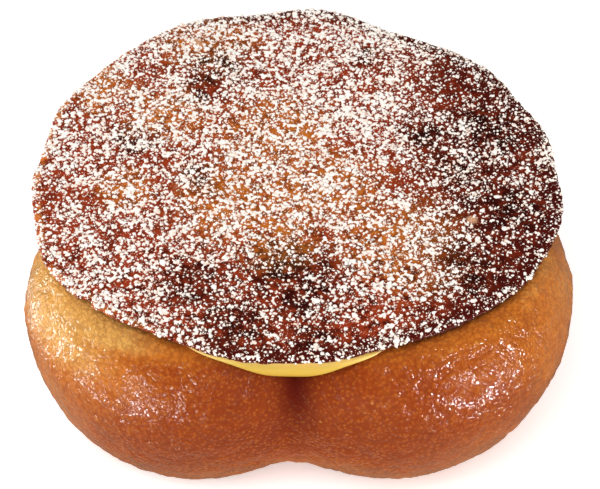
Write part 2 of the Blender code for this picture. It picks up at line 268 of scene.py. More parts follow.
class Recipe:
    """Adds nodes to a tree one after another, each fed with plain values or other nodes' outputs."""

    def __init__(self, tree):
        self.tree = tree

    def feed(self, socket, value):
        if isinstance(value, bpy.types.NodeSocket):
            self.tree.links.new(value, socket)
        elif value is not None:
            socket.default_value = value

    def node(self, kind, inputs=None, **settings):
        made = self.tree.nodes.new(kind)
        for name, value in settings.items():
            setattr(made, name, value)
        for key, value in (inputs or {}).items():
            self.feed(made.inputs[key], value)
        return made

    def math(self, operation, *values):
        return self.node("ShaderNodeMath", dict(enumerate(values)), operation=operation).outputs[0]

    def chain(self, operation, values):
        """The values put together one after another by the same operation."""
        total, *others = values
        for value in others:
            total = self.math(operation, total, value)
        return total

    def plus(self, *values):
        return self.chain("ADD", values)

    def times(self, *values):
        return self.chain("MULTIPLY", values)

    def minus(self, first, second):
        return self.math("SUBTRACT", first, second)

    def times_plus(self, value, factor, rest):
        return self.math("MULTIPLY_ADD", value, factor, rest)

    def vector(self, operation, *values, scale=None):
        made = self.node("ShaderNodeVectorMath", dict(enumerate(values)), operation=operation)
        self.feed(made.inputs[3], scale)
        return made.outputs["Value" if operation == "DISTANCE" else "Vector"]

    def ramp(self, value, low, high, start=0.0, end=1.0, curve="SMOOTHSTEP"):
        """Start below low, end above high, and between them on the way."""
        inputs = dict(enumerate((value, low, high, start, end)))
        return self.node("ShaderNodeMapRange", inputs, interpolation_type=curve).outputs[0]

    def along(self, value, low, high, start=0.0, end=1.0):
        """A ramp along a length, whose low and high are in mm."""
        return self.ramp(value, low * MM, high * MM, start, end)

    def parts(self, vector):
        return self.node("ShaderNodeSeparateXYZ", {0: vector}).outputs

    def join(self, x=0.0, y=0.0, z=0.0):
        return self.node("ShaderNodeCombineXYZ", {0: x, 1: y, 2: z}).outputs[0]

    def scale_for(self, width):
        """The scale of a pattern whose lumps or cells are that wide."""
        return 1.0 / width if isinstance(width, float) else self.math("DIVIDE", 1.0, width)

    def grain(self, place, width, detail=2.0, roughness=0.5, distortion=0.0):
        """Soft cloudy noise from 0 to 1, its lumps about that wide."""
        inputs = {"Vector": place, "Scale": self.scale_for(width), "Detail": detail}
        inputs |= {"Roughness": roughness, "Distortion": distortion}
        return self.node("ShaderNodeTexNoise", inputs).outputs[0]

    def uneven(self, *grain):
        """Grain that lies as often below 0 as above it."""
        return self.minus(self.grain(*grain), 0.5)

    def cells(self, place, width):
        """Distance to the nearest of scattered points that lie about that far apart."""
        inputs = {"Vector": place, "Scale": self.scale_for(width)}
        return self.node("ShaderNodeTexVoronoi", inputs).outputs["Distance"]

    def mix(self, amount, first, second):
        return self.node("ShaderNodeMix", {0: amount, 6: first, 7: second}, data_type="RGBA").outputs[2]

    def between(self, amount, first, second):
        return self.node("ShaderNodeMix", {0: amount, 2: first, 3: second}, data_type="FLOAT").outputs[0]

    def swayed(self, flat, place, width, detail, distance):
        """A flat place moved to and fro, which gives the patches laid on it uneven edges."""
        inputs = {"Vector": place, "Scale": self.scale_for(width), "Detail": detail}
        sway = self.node("ShaderNodeTexNoise", inputs).outputs["Color"]
        sway = self.vector("SCALE", self.vector("SUBTRACT", sway, (0.5, 0.5, 0.5)), scale=distance)
        return self.vector("MULTIPLY", self.vector("ADD", flat, sway), (1.0, 1.0, 0.0))

    def spots(self, place, spots, softness):
        """1 in the middle of each round patch, 0 outside all of them."""
        total = 0.0
        for x, y, radius in spots:
            away = self.vector("DISTANCE", place, (x * MM, y * MM, 0.0))
            near = self.ramp(away, radius * (1 - softness) * MM, radius * (1 + softness) * MM, 1.0, 0.0)
            total = self.math("MAXIMUM", total, near)
        return total

    def stored(self, name):
        """What a mesh keeps under that name, read in a material."""
        return self.node("ShaderNodeAttribute", attribute_name=name).outputs["Fac"]

    def place(self):
        return self.node("GeometryNodeInputPosition").outputs[0]

    def normal(self):
        return self.node("GeometryNodeInputNormal").outputs[0]

    def ball(self, sides, rows, radius):
        inputs = {"Segments": sides, "Rings": rows, "Radius": radius}
        return self.node("GeometryNodeMeshUVSphere", inputs).outputs[0]

    def form_of(self, thing):
        return self.node("GeometryNodeObjectInfo", {"Object": thing}).outputs["Geometry"]

    def moved(self, geometry, **inputs):
        return self.node("GeometryNodeSetPosition", {"Geometry": geometry, **inputs}).outputs[0]

    def marked(self, geometry, name, value):
        """The geometry with a value kept under that name on each point."""
        inputs = {"Geometry": geometry, "Name": name, "Value": value}
        kind = {"data_type": "FLOAT", "domain": "POINT"}
        return self.node("GeometryNodeStoreNamedAttribute", inputs, **kind).outputs[0]

    def draw(self, low, high, seed, kind="FLOAT"):
        """A random value between low and high for each point."""
        first, output = {"FLOAT_VECTOR": (0, 0), "FLOAT": (2, 1), "INT": (4, 2)}[kind]
        inputs = {first: low, first + 1: high, "Seed": seed}
        return self.node("FunctionNodeRandomValue", inputs, data_type=kind).outputs[output]


def new_tree(name, **labels):
    """A Geometry Nodes tree with named inputs of each kind, its recipe and the outputs of its input node."""
    kinds = {"numbers": "Float", "counts": "Int", "places": "Vector", "objects": "Object"}
    tree = bpy.data.node_groups.new(name, "GeometryNodeTree")
    tree.interface.new_socket("Geometry", in_out="INPUT", socket_type="NodeSocketGeometry")
    tree.interface.new_socket("Geometry", in_out="OUTPUT", socket_type="NodeSocketGeometry")
    for kind, names in labels.items():
        for label in names:
            tree.interface.new_socket(label, in_out="INPUT", socket_type="NodeSocket" + kinds[kind])
    recipe = Recipe(tree)
    return recipe, recipe.node("NodeGroupInput").outputs


def close_tree(recipe, geometry, material):
    """Ends a tree: real, smooth, with its material."""
    real = recipe.node("GeometryNodeRealizeInstances", {0: geometry}).outputs[0]
    smooth = recipe.node("GeometryNodeSetShadeSmooth", {"Geometry": real}).outputs[0]
    dressed = recipe.node("GeometryNodeSetMaterial", {"Geometry": smooth, "Material": material}).outputs[0]
    recipe.node("NodeGroupOutput", {0: dressed})
    return recipe.tree


def settings_for(labels, settings):
    """The settings that the inputs with these labels are named after."""
    return {label: getattr(settings, label.lower().replace(" ", "_")) for label in labels}


def mesh_of(form, name):
    """A mesh with the faces of a bmesh, which is then freed."""
    mesh = bpy.data.meshes.new(name)
    form.to_mesh(mesh)
    form.free()
    return mesh


def new_piece(name, mesh):
    piece = bpy.data.objects.new(name, mesh)
    bpy.context.scene.collection.objects.link(piece)
    return piece


def made_real(piece):
    """Turns a piece with modifiers into the plain mesh that they make."""
    graph = bpy.context.evaluated_depsgraph_get()
    mesh = bpy.data.meshes.new_from_object(piece.evaluated_get(graph))
    piece.modifiers.clear()
    piece.data = mesh
    mesh.name = piece.name
    if not mesh.polygons:
        raise RuntimeError(f"{piece.name} came out empty")
    return piece


def grow(piece, tree, values):
    """Runs a Geometry Nodes tree on a piece and keeps the mesh that it makes."""
    modifier = piece.modifiers.new(tree.name, "NODES")
    modifier.node_group = tree
    for item in tree.interface.items_tree:
        if item.in_out == "INPUT" and item.name in values:
            modifier[item.identifier] = values[item.name]
    return made_real(piece)


def new_material(name, uniform):
    """A material, its recipe, its main shader and the place of each point on the piece."""
    material = bpy.data.materials.new(name)
    material.use_nodes = True
    recipe = Recipe(material.node_tree)
    shader = material.node_tree.nodes["Principled BSDF"]
    for label, value in uniform.items():
        shader.inputs[label].default_value = value
    return material, recipe, shader, recipe.node("ShaderNodeTexCoord").outputs["Object"]


def bumped(recipe, shader, height, distance, strength):
    bump = recipe.node("ShaderNodeBump", {"Height": height, "Distance": distance, "Strength": strength})
    recipe.feed(shader.inputs["Normal"], bump.outputs[0])


def steps(many):
    """The shares of that many equal steps, the last one 1."""
    return [(step + 1) / many for step in range(many)]


def blend(start, end, amount):
    return start + (end - start) * amount


def bend(start, corner, end, amount):
    """Point at amount along the curve that leaves start towards corner and reaches end coming from it."""
    first = blend(Vector(start), Vector(corner), amount)
    second = blend(Vector(corner), Vector(end), amount)
    return tuple(blend(first, second, amount))


def at_azimuth(azimuth, reach, height=0.0):
    return Vector((reach * math.cos(azimuth), reach * math.sin(azimuth), height))


class BunForm:
    """The bun's form, which is also that of its solid: four lobes grown together under a dished top."""

    DISH_DEPTH, DISH_RIM = 2.4 * MM, 0.3 * MM
    SHOULDER_DROP, SHOULDER_REACH, SHOULDER_CORNER = 1.5 * MM, 4.6 * MM, (1.4 * MM, 0.3 * MM)
    FOOT_SLOPE, FOOT_REACH = 0.93, 2.1
    CREASE_WIDTH, CREASE_HEIGHT, CREASE_FADE = 3.4 * MM, 25.0 * MM, 10.0 * MM
    UNEVENNESS, WAVELENGTH = 0.35 * MM, 14.0 * MM
    ROWS = (4, 12, 30, 62, 12, 2)
    LEAD_TURN, MIDDLE_LEAD = 0.024, 0.1

    def __init__(self, settings):
        self.s = settings

    def lobe_reaches(self, azimuth, height):
        """How far each lobe reaches from the axis at that azimuth and height, the furthest first."""
        half = self.s.lower_half if height < self.s.belly_height else self.s.upper_half
        shrink = math.sqrt(max(1 - ((height - self.s.belly_height) / half) ** 2, 0.0))
        reaches = []
        for lobe_azimuth, offset, radius in LOBES:
            turn = azimuth - math.radians(lobe_azimuth)
            aside = offset * math.sin(turn)
            reaches.append(offset * math.cos(turn) + math.sqrt(max((radius * shrink) ** 2 - aside**2, 0.0)))
        return sorted(reaches, reverse=True)

    def valley_share(self, azimuth, width):
        """1 on the line between two lobes, falling to 0 on either side of it."""
        first, second = self.lobe_reaches(azimuth, self.s.belly_height)[:2]
        return math.exp(-(((first - second) / width) ** 2))

    def reach(self, azimuth, height, valley):
        reaches = self.lobe_reaches(azimuth, height)
        soft = self.s.lobe_blend
        union = reaches[0] + soft * math.log(sum(math.exp((r - reaches[0]) / soft) for r in reaches))
        crease = self.s.crease_depth * math.exp(-(((height - self.CREASE_HEIGHT) / self.CREASE_FADE) ** 2))
        uneven = noise.noise(at_azimuth(azimuth, union, height) / self.WAVELENGTH + DOUGH_SEED)
        return union - crease * valley + self.UNEVENNESS * uneven

    def line(self, azimuth):
        """(reach, height) of every row, from beside the top's middle to beside the base's middle."""
        dish, shoulder, upper, lower, foot_rows, base = self.ROWS
        valley = self.valley_share(azimuth, self.CREASE_WIDTH)
        crest = self.s.crest_height - self.s.valley_dip * self.valley_share(azimuth, self.s.valley_width)
        middle = self.s.crest_height - self.DISH_DEPTH
        flank = crest - self.SHOULDER_DROP
        flank_reach = self.reach(azimuth, flank, valley)
        rim = (flank_reach - self.SHOULDER_REACH, crest - self.DISH_RIM)
        corner = (flank_reach - self.SHOULDER_CORNER[0], crest + self.SHOULDER_CORNER[1])
        line = [(rim[0] * part, blend(middle, rim[1], part**2)) for part in steps(dish)]
        line += [bend(rim, corner, (flank_reach, flank), part) for part in steps(shoulder)]
        foot_round = self.s.foot_round
        belly = self.s.belly_height
        for start, end, rows in ((flank, belly, upper), (belly, foot_round, lower)):
            heights = [blend(start, end, part) for part in steps(rows)]
            line += [(self.reach(azimuth, height, valley), height) for height in heights]
        foot = line[-1]
        corner = (foot[0] - self.FOOT_SLOPE * foot_round, 0.0)
        landing = (foot[0] - self.FOOT_REACH * foot_round, 0.0)
        line += [bend(foot, corner, landing, part) for part in steps(foot_rows)]
        line += [(landing[0] * (1 - part), 0.0) for part in steps(base + 1)[:-1]]
        return line

    def mesh(self, name):
        """The form as a closed mesh, each point with its lobe's lead over the next, 0 in a crease."""
        sides = self.s.sides
        azimuths = [side / sides * math.tau for side in range(sides)]
        lines = [self.line(azimuth) for azimuth in azimuths]
        rows = len(lines[0])
        sides_and_lines = tuple(zip(azimuths, lines))
        points = [at_azimuth(azimuth, *line[row]) for row in range(rows) for azimuth, line in sides_and_lines]
        points += [Vector((0, 0, self.s.crest_height - self.DISH_DEPTH)), Vector((0, 0, 0))]
        faces = []
        for side in range(sides):
            after = (side + 1) % sides
            faces.append((len(points) - 2, side, after))
            faces.append((len(points) - 1, (rows - 1) * sides + after, (rows - 1) * sides + side))
            for row in range(rows - 1):
                here = row * sides
                faces.append((here + side, here + sides + side, here + sides + after, here + after))
        mesh = bpy.data.meshes.new(name)
        mesh.from_pydata([point + FOOTPRINT_SHIFT for point in points], [], faces)
        reaches = [self.lobe_reaches(azimuth - self.LEAD_TURN, self.s.belly_height) for azimuth in azimuths]
        leads = [first - second for first, second, *_ in reaches] * rows + [self.MIDDLE_LEAD] * 2
        mesh.attributes.new("lead", "FLOAT", "POINT").data.foreach_set("value", leads)
        return mesh


def crust_tree(material):
    """Lumps, wrinkles and fine grain on a fried crust, which leave its flat base as it is."""
    recipe, given = new_tree("crust", numbers=CRUST_SIZES)
    place = recipe.place()
    stretched = recipe.vector("MULTIPLY", place, (1.0, 1.0, 0.6))
    lumps = recipe.uneven(place, given["Lump width"], 1.0)
    wrinkles = recipe.uneven(stretched, given["Wrinkle width"], 2.0, 0.55, 0.3)
    pebbles = recipe.uneven(place, given["Pebble width"], 2.0, 0.6)
    rise = recipe.times(lumps, given["Lump height"])
    rise = recipe.times_plus(wrinkles, given["Wrinkle depth"], rise)
    rise = recipe.times_plus(pebbles, given["Pebble height"], rise)
    rise = recipe.times(rise, recipe.along(recipe.parts(place)["Z"], 0.1, 2.0))
    offset = recipe.vector("SCALE", recipe.normal(), scale=rise)
    return close_tree(recipe, recipe.moved(given["Geometry"], Offset=offset), material)


def fried_dough(settings):
    """Golden crust, browner towards the foot, where painted light lifts the shaded underside, with painted
    shade in and beside the creases, painted light under the rim and at the ends, painted sheen at the sides
    and a thin film of oil.
    """
    uniform = {"Roughness": 0.13, "Sheen Weight": 0.18, "Sheen Roughness": 0.4}
    uniform |= {"Sheen Tint": (1.0, 0.8, 0.6, 1.0), "Subsurface Weight": 0.12}
    uniform |= {"Subsurface Scale": 0.0015, "Subsurface Radius": (1.0, 0.45, 0.2)}
    material, recipe, shader, place = new_material("fried_dough", uniform)
    times, ramp, along = recipe.times, recipe.ramp, recipe.along
    x, _, height = recipe.parts(place)
    lead = recipe.stored("lead")
    patchy = recipe.grain(place, 13.0 * MM, 3.0, 0.55)
    fine = recipe.grain(place, 0.9 * MM, 2.0, 0.6)

    # Paler from the foot to the brim, with painted light under the rim, on the shaded foot and at both ends,
    # painted sheen on the left flank, and a left shoulder that is paler partly from less frying and partly
    # from painted light from the left; painted shade makes the crust browner beside the creases
    paler_and_painted_light = {
        # Paler left shoulder: partly less fried, partly painted light from the left
        "left shoulder, partly painted light": times(along(x, -36, -18, 0.6, 0.0), along(height, 19, 30)),
        "right shoulder": times(along(x, 20, 40, 0.0, 0.15), along(height, 16, 30)),
        # Painted light under the rim, which lifts the shade that the disc casts on the shoulder
        "painted light under the rim": times(along(x, -30, -14, 0.6, 0.15), along(height, 30, 32)),
        # Painted sheen on the left flank and painted light at both ends, standing in for the bright edge of
        # the bun
        "painted sheen on the left flank": times(along(x, -40, -24, 0.12, 0.0), along(height, 5, 20)),
        "painted light at the right end": along(x, 30, 42, 0.0, 0.18),
        "painted light at the left end": along(x, -42, -37, 0.06, 0.0),
        # Painted light on the foot, which lifts the shade on the underside
        "foot": along(height, 0, 15, 0.2, 0.0),
    }
    paleness = recipe.times_plus(recipe.minus(patchy, 0.5), 0.5, along(height, 2, 31, 0.26, 0.36))
    paleness = recipe.plus(paleness, *paler_and_painted_light.values())
    # Painted shade: browner beside the creases
    paleness = recipe.minus(paleness, times(along(lead, 3, 20, 0.2, 0.0), along(height, 8, 20)))
    paleness = recipe.times_plus(recipe.minus(fine, 0.5), 0.30, paleness)
    bands = recipe.node("ShaderNodeValToRGB", {0: paleness})
    stops = bands.color_ramp.elements
    tones = (settings.deep_brown, settings.orange_brown, settings.golden, settings.pale_gold)
    for order, (where, tone) in enumerate(zip((0.0, 0.30, 0.62, 1.0), tones)):
        stop = stops[order] if order < 2 else stops.new(where)
        stop.position, stop.color = where, tone

    # Pores, light dots and painted shade in the depth of the creases
    pores = ramp(recipe.cells(place, 0.62 * MM), 0.0, 0.75, 1.0, 0.0)
    crust = recipe.mix(ramp(pores, 0.45, 1.0, 0.0, 0.5), bands.outputs[0], settings.golden)
    crust = recipe.mix(ramp(pores, 0.0, 0.4, 0.35, 0.0), crust, settings.deep_brown)
    dots = times(ramp(recipe.cells(place, 2.1 * MM), 0.06, 0.14, 0.5, 0.0), ramp(patchy, 0.4, 0.6))
    crust = recipe.mix(dots, crust, settings.pale_gold)
    # Painted shade: the crease colour is laid where a crease is deep
    depth = times(along(lead, 0, 5.5, 0.95, 0.0), along(height, 15, 26, 0.1, 1.0))
    crust = recipe.mix(depth, crust, settings.crease_shade_brown)

    # Painted sheen: a paler tan low down and at the sides, which stands in for the bright reflection at the
    # edges and lifts the shaded lower parts
    left = times(along(x, -42, -26, 0.4, 0.0), along(height, 10, 26, 1.0, 0.0))
    right = times(along(x, 10, 26, 0.0, 0.15), along(height, 8, 22, 1.0, 0.0))
    right = recipe.math("MAXIMUM", along(x, 32, 42, 0.0, 0.1), right)
    painted_sheen = recipe.plus(along(height, 0, 13, 0.12, 0.0), right, left)
    recipe.feed(shader.inputs["Base Color"], recipe.mix(painted_sheen, crust, settings.painted_sheen_tan))

    # Oil in patches, none in the creases
    oil = ramp(recipe.grain(place, 4.5 * MM, 4.0, 0.7), 0.42, 0.58, 0.1, 1.0)
    oil = times(oil, ramp(recipe.grain(place, 0.8 * MM, 1.0), 0.4, 0.6, 0.3, 1.3))
    oil = times(oil, along(lead, 2, 16, 0.0, settings.gloss))
    recipe.feed(shader.inputs["Specular IOR Level"], oil)
    skin = recipe.times_plus(pores, 0.35, fine)
    skin = recipe.times_plus(recipe.grain(place, 0.35 * MM, 1.0), 0.45, skin)
    bumped(recipe, shader, times(skin, ramp(painted_sheen, 0.0, 0.25, 1.0, 0.3)), 0.28 * MM, 1.0)
    return material


def smooth_cream(settings):
    """Soft glossy cream: deeper yellow in patches, painted shade where it folds under, and painted light,
    lighter and warmer, close under the disc where the disc's shadow falls.
    """
    uniform = {"Roughness": 0.3, "Specular IOR Level": 0.3}
    uniform |= {"Subsurface Weight": 0.3, "Subsurface Scale": 0.003, "Subsurface Radius": (1.0, 0.7, 0.25)}
    material, recipe, shader, place = new_material("yellow_cream", uniform)
    height = recipe.parts(place)["Z"]
    # Painted shade: deeper yellow low down, where the cream folds under; the grain adds deeper patches of
    # real tone
    low = recipe.along(height, 28, 32.5, 0.75, 0.0)
    deep = recipe.times_plus(recipe.grain(place, 6.0 * MM, 2.0), 0.4, low)
    tone = recipe.mix(deep, settings.light_yellow, settings.deep_and_shade_yellow)
    # Painted light: lighter, warmer yellow close under the disc, where the disc's shadow falls
    tone = recipe.mix(recipe.along(height, 31.6, 33.0), tone, settings.painted_light_yellow)
    recipe.feed(shader.inputs["Base Color"], tone)
    bumped(recipe, shader, recipe.grain(place, 2.2 * MM, 1.0), 0.12 * MM, 0.5)
    return material


def burnt_caramel(settings):
    """Caramelised crisp: red brown with amber, maroon and burnt patches, painted shade on the rim's side, and
    a thin light edge that is partly painted light on the left.
    """
    material, recipe, shader, place = new_material("caramel", {"Specular IOR Level": 0.08})
    times, ramp, along = recipe.times, recipe.ramp, recipe.along
    flat = recipe.vector("MULTIPLY", recipe.vector("SUBTRACT", place, settings.centre), (1.0, 1.0, 0.0))
    swayed = recipe.swayed(flat, place, 5.0 * MM, 3.0, 9 * MM)
    x = recipe.parts(flat)["X"]
    swayed_x, swayed_y = recipe.parts(swayed)[:2]
    mottle = recipe.grain(place, 2.2 * MM, 4.0, 0.68)
    amber = times(recipe.spots(swayed, AMBER_SPOTS, 0.6), ramp(mottle, 0.36, 0.56, 0.35, 1.0))
    tone = recipe.mix(amber, settings.red_brown, settings.amber)
    right = times(along(swayed_x, 11, 28), ramp(mottle, 0.4, 0.55, 0.55, 0.95))
    streaks = ramp(recipe.grain(place, 1.4 * MM, 3.0, 0.6, 0.4), 0.44, 0.62)
    streaks = times(streaks, along(swayed_y, -26, -8, 0.9, 0.55))
    tone = recipe.mix(recipe.math("MAXIMUM", streaks, right), tone, settings.maroon)
    burnt = times(recipe.spots(swayed, BURNT_SPOTS, 0.8), ramp(mottle, 0.38, 0.58, 0.3, 0.95))
    tone = recipe.mix(burnt, tone, settings.burnt)
    tone = recipe.mix(recipe.spots(flat, PALE_BLISTERS, 0.4), tone, settings.pale_blister)
    rim = recipe.stored("rim")
    # Painted shade on the rim's side, strongest right of the front
    painted_rim_shade = times(ramp(rim, 0.93, 0.99), along(x, -24, -8, 0.15, 0.9))
    tone = recipe.mix(painted_rim_shade, tone, settings.maroon)
    # A lighter thin edge, partly painted light through it, on the left side only
    edge = times(ramp(rim, 0.985, 1.0), along(swayed_x, -36, -14, 0.7, 0.0), ramp(mottle, 0.42, 0.58))
    recipe.feed(shader.inputs["Base Color"], recipe.mix(edge, tone, settings.rim_gold))
    recipe.feed(shader.inputs["Roughness"], ramp(mottle, 0.3, 0.7, 0.35, 0.55))
    rough = recipe.times_plus(recipe.grain(place, 0.5 * MM, 3.0, 0.6), 0.5, mottle)
    bumped(recipe, shader, rough, 0.25 * MM, 0.8)
    return material


def powdered_sugar(settings):
    """White sugar, creamier where it lies thin and has drawn some oil."""
    material, recipe, shader, place = new_material("powdered_sugar", {"Roughness": 0.85})
    clouds = recipe.ramp(recipe.grain(place, 0.8 * MM, 3.0, 0.6), 0.45, 0.70, 0.0, 0.55)
    tint = recipe.times_plus(recipe.stored("thinness"), 0.5, clouds)
    recipe.feed(shader.inputs["Base Color"], recipe.mix(tint, settings.white, settings.cream_white))
    bumped(recipe, shader, recipe.grain(place, 0.16 * MM, 2.0), 0.06 * MM, 0.6)
    return material


def rim_reach(azimuth, disc_settings):
    """Radius of the disc's wavy rim."""
    waves = sum(size * math.cos(many * (azimuth - math.radians(crest))) for many, size, crest in RIM_WAVES)
    swell = math.exp(2 * (math.cos(azimuth - SWELL_AZIMUTH) - 1) / SWELL_WIDTH**2)
    return disc_settings.radius + waves + swell * disc_settings.rim_swell


def disc_tree(material):
    """A ball whose rows are laid out as the disc's top, its round rim and its underside."""
    recipe, given = new_tree("disc", counts=("Sides", "Rows"), places=("Centre",), numbers=DISC_SIZES)
    math_node, ramp, between = recipe.math, recipe.ramp, recipe.between
    times, minus, times_plus = recipe.times, recipe.minus, recipe.times_plus
    x, y, z = recipe.parts(recipe.place())
    azimuth = math_node("ARCTAN2", y, x)
    row = math_node("DIVIDE", math_node("ARCCOSINE", z), math.pi)
    top = ramp(row, 0.0, TOP_END, curve="LINEAR")
    rim = ramp(row, TOP_END, RIM_END, curve="LINEAR")
    under = ramp(row, RIM_END, 1.0, curve="LINEAR")

    # How far the rim reaches at each azimuth
    reach = given["Radius"]
    for many, size, crest in RIM_WAVES:
        turn = times_plus(azimuth, float(many), -many * math.radians(crest))
        reach = times_plus(math_node("COSINE", turn), size, reach)
    steepness = 2 / SWELL_WIDTH**2
    from_swell = math_node("COSINE", minus(azimuth, SWELL_AZIMUTH))
    swell = math_node("EXPONENT", times_plus(from_swell, steepness, -steepness))
    reach = times_plus(swell, given["Rim swell"], reach)
    outwards = recipe.join(math_node("COSINE", azimuth), math_node("SINE", azimuth))
    on_rim = recipe.vector("SCALE", outwards, scale=given["Radius"])
    bites = ramp(recipe.grain(on_rim, 1.6 * MM, 3.0, 0.6), 0.42, 0.70)
    reach = minus(reach, times(bites, given["Rim bite"]))
    reach = minus(reach, times(recipe.spots(on_rim, RIM_NOTCHES, 0.5), given["Notch"]))

    # Each row's place, and the share of the way out that it keeps for the material
    way_out = times(top, minus(1.0, under))
    flat_reach = times(minus(reach, given["Rim round"]), way_out)
    bulge = math_node("SINE", times(rim, math.pi))
    flat = recipe.vector("SCALE", outwards, scale=times_plus(bulge, given["Rim round"], flat_reach))

    # Height of the top, with its warp, relief and blisters, and of the underside
    warp_wave = math_node("SINE", times_plus(azimuth, WARP_WAVES, WARP_WAVES * WARP_TURN))
    warp = times(warp_wave, given["Warp rise"])
    broad = times_plus(recipe.grain(flat, given["Relief width"], 2.0), 2.0, -2.0)
    surface = times_plus(broad, given["Relief"], given["Top"])
    surface = times_plus(warp, math_node("POWER", top, 3.0), surface)
    surface = minus(surface, times(given["Rim drop"], math_node("POWER", top, 6.0)))
    blisters = ramp(recipe.cells(flat, given["Blister width"]), 0.1, 0.55, 1.0, 0.0)
    bumps = times_plus(blisters, 0.5, minus(recipe.grain(flat, 0.9 * MM, 3.0, 0.6), 0.75))
    surface = times_plus(bumps, given["Blister rise"], surface)
    surface = times_plus(recipe.spots(flat, PALE_BLISTERS, 0.6), given["Pale blister rise"], surface)
    floor = minus(given["Top"], given["Thickness"])
    edge = recipe.plus(floor, given["Warp rise"], warp)
    turn_in = minus(0.5, times(math_node("COSINE", times(rim, math.pi)), 0.5))
    height = between(under, between(turn_in, surface, edge), floor)
    place = recipe.vector("ADD", recipe.vector("ADD", flat, recipe.join(z=height)), given["Centre"])
    ball = recipe.marked(recipe.ball(given["Sides"], given["Rows"], 1.0), "rim", way_out)
    return close_tree(recipe, recipe.moved(ball, Position=place), material)


def sugar_plenty(recipe, place, centre):
    """1 where sugar lies as on most of the disc, less on its bare spots and more on its rich ones."""
    flat = recipe.vector("SUBTRACT", place, centre)
    swayed = recipe.swayed(flat, place, 6.0 * MM, 2.0, 8 * MM)
    more = recipe.times_plus(recipe.spots(swayed, RICH_SPOTS, 0.8), 0.45, 1.0)
    return recipe.minus(more, recipe.spots(swayed, BARE_SPOTS, 0.7))


def dusting_tree(material):
    """A sheet over the disc that comes out of it only where sugar lies, as small uneven islands."""
    kinds = {"objects": ("Disc",), "counts": ("Seed", "Points"), "places": ("Centre",)}
    recipe, given = new_tree("dusting", numbers=("Spread", "Drift width", "Width", "Rise", "Cover"), **kinds)
    times, minus, times_plus = recipe.times, recipe.minus, recipe.times_plus
    inputs = {"Size X": given["Spread"], "Size Y": given["Spread"]}
    inputs |= {"Vertices X": given["Points"], "Vertices Y": given["Points"]}
    grid = recipe.node("GeometryNodeMeshGrid", inputs).outputs[0]
    limits = (-DUST_STRAY, -DUST_STRAY, 0.0), (DUST_STRAY, DUST_STRAY, 0.0)
    stray = recipe.draw(*limits, given["Seed"], "FLOAT_VECTOR")
    sheet = recipe.moved(grid, Offset=recipe.vector("ADD", stray, given["Centre"]))

    # How thick the sugar lies
    place = recipe.place()
    field = minus(given["Cover"], recipe.cells(place, given["Width"]))
    fine = recipe.uneven(place, 0.34 * MM, 2.0, 0.6)
    drifts = recipe.uneven(place, given["Drift width"], 2.0, 0.5)
    plenty = minus(sugar_plenty(recipe, place, given["Centre"]), 1.0)
    for part, weight in ((fine, 0.75), (drifts, 0.6), (plenty, 0.17)):
        field = times_plus(part, weight, field)
    rough = times_plus(recipe.grain(place, 0.3 * MM, 1.0), 0.3 * MM, -0.15 * MM)
    height = times_plus(field, DUST_STEEPNESS, times(rough, recipe.ramp(field, 0.0, 0.1)))
    height = recipe.math("MINIMUM", height, given["Rise"])

    # The sheet is dropped on the disc and kept only where it isn't sunk deep in it
    inputs = {"Target Geometry": recipe.form_of(given["Disc"]), "Ray Direction": (0.0, 0.0, -1.0)}
    inputs |= {"Source Position": recipe.vector("ADD", place, (0.0, 0.0, DUST_DROP)), "Ray Length": DUST_RAY}
    ray = recipe.node("GeometryNodeRaycast", inputs)
    flat_hit = recipe.math("GREATER_THAN", recipe.parts(ray.outputs["Hit Normal"])["Z"], 0.25)
    kept = times(flat_hit, recipe.math("GREATER_THAN", height, -DUST_SUNK))
    inputs = {"Geometry": sheet, "Selection": recipe.math("LESS_THAN", kept, 0.5)}
    cut = recipe.node("GeometryNodeDeleteGeometry", inputs, domain="POINT").outputs[0]
    thin = recipe.marked(cut, "thinness", recipe.along(height, 0.0, 0.12, 1.0, 0.0))
    lifted = recipe.vector("ADD", ray.outputs["Hit Position"], recipe.join(z=height))
    return close_tree(recipe, recipe.moved(thin, Position=lifted), material)


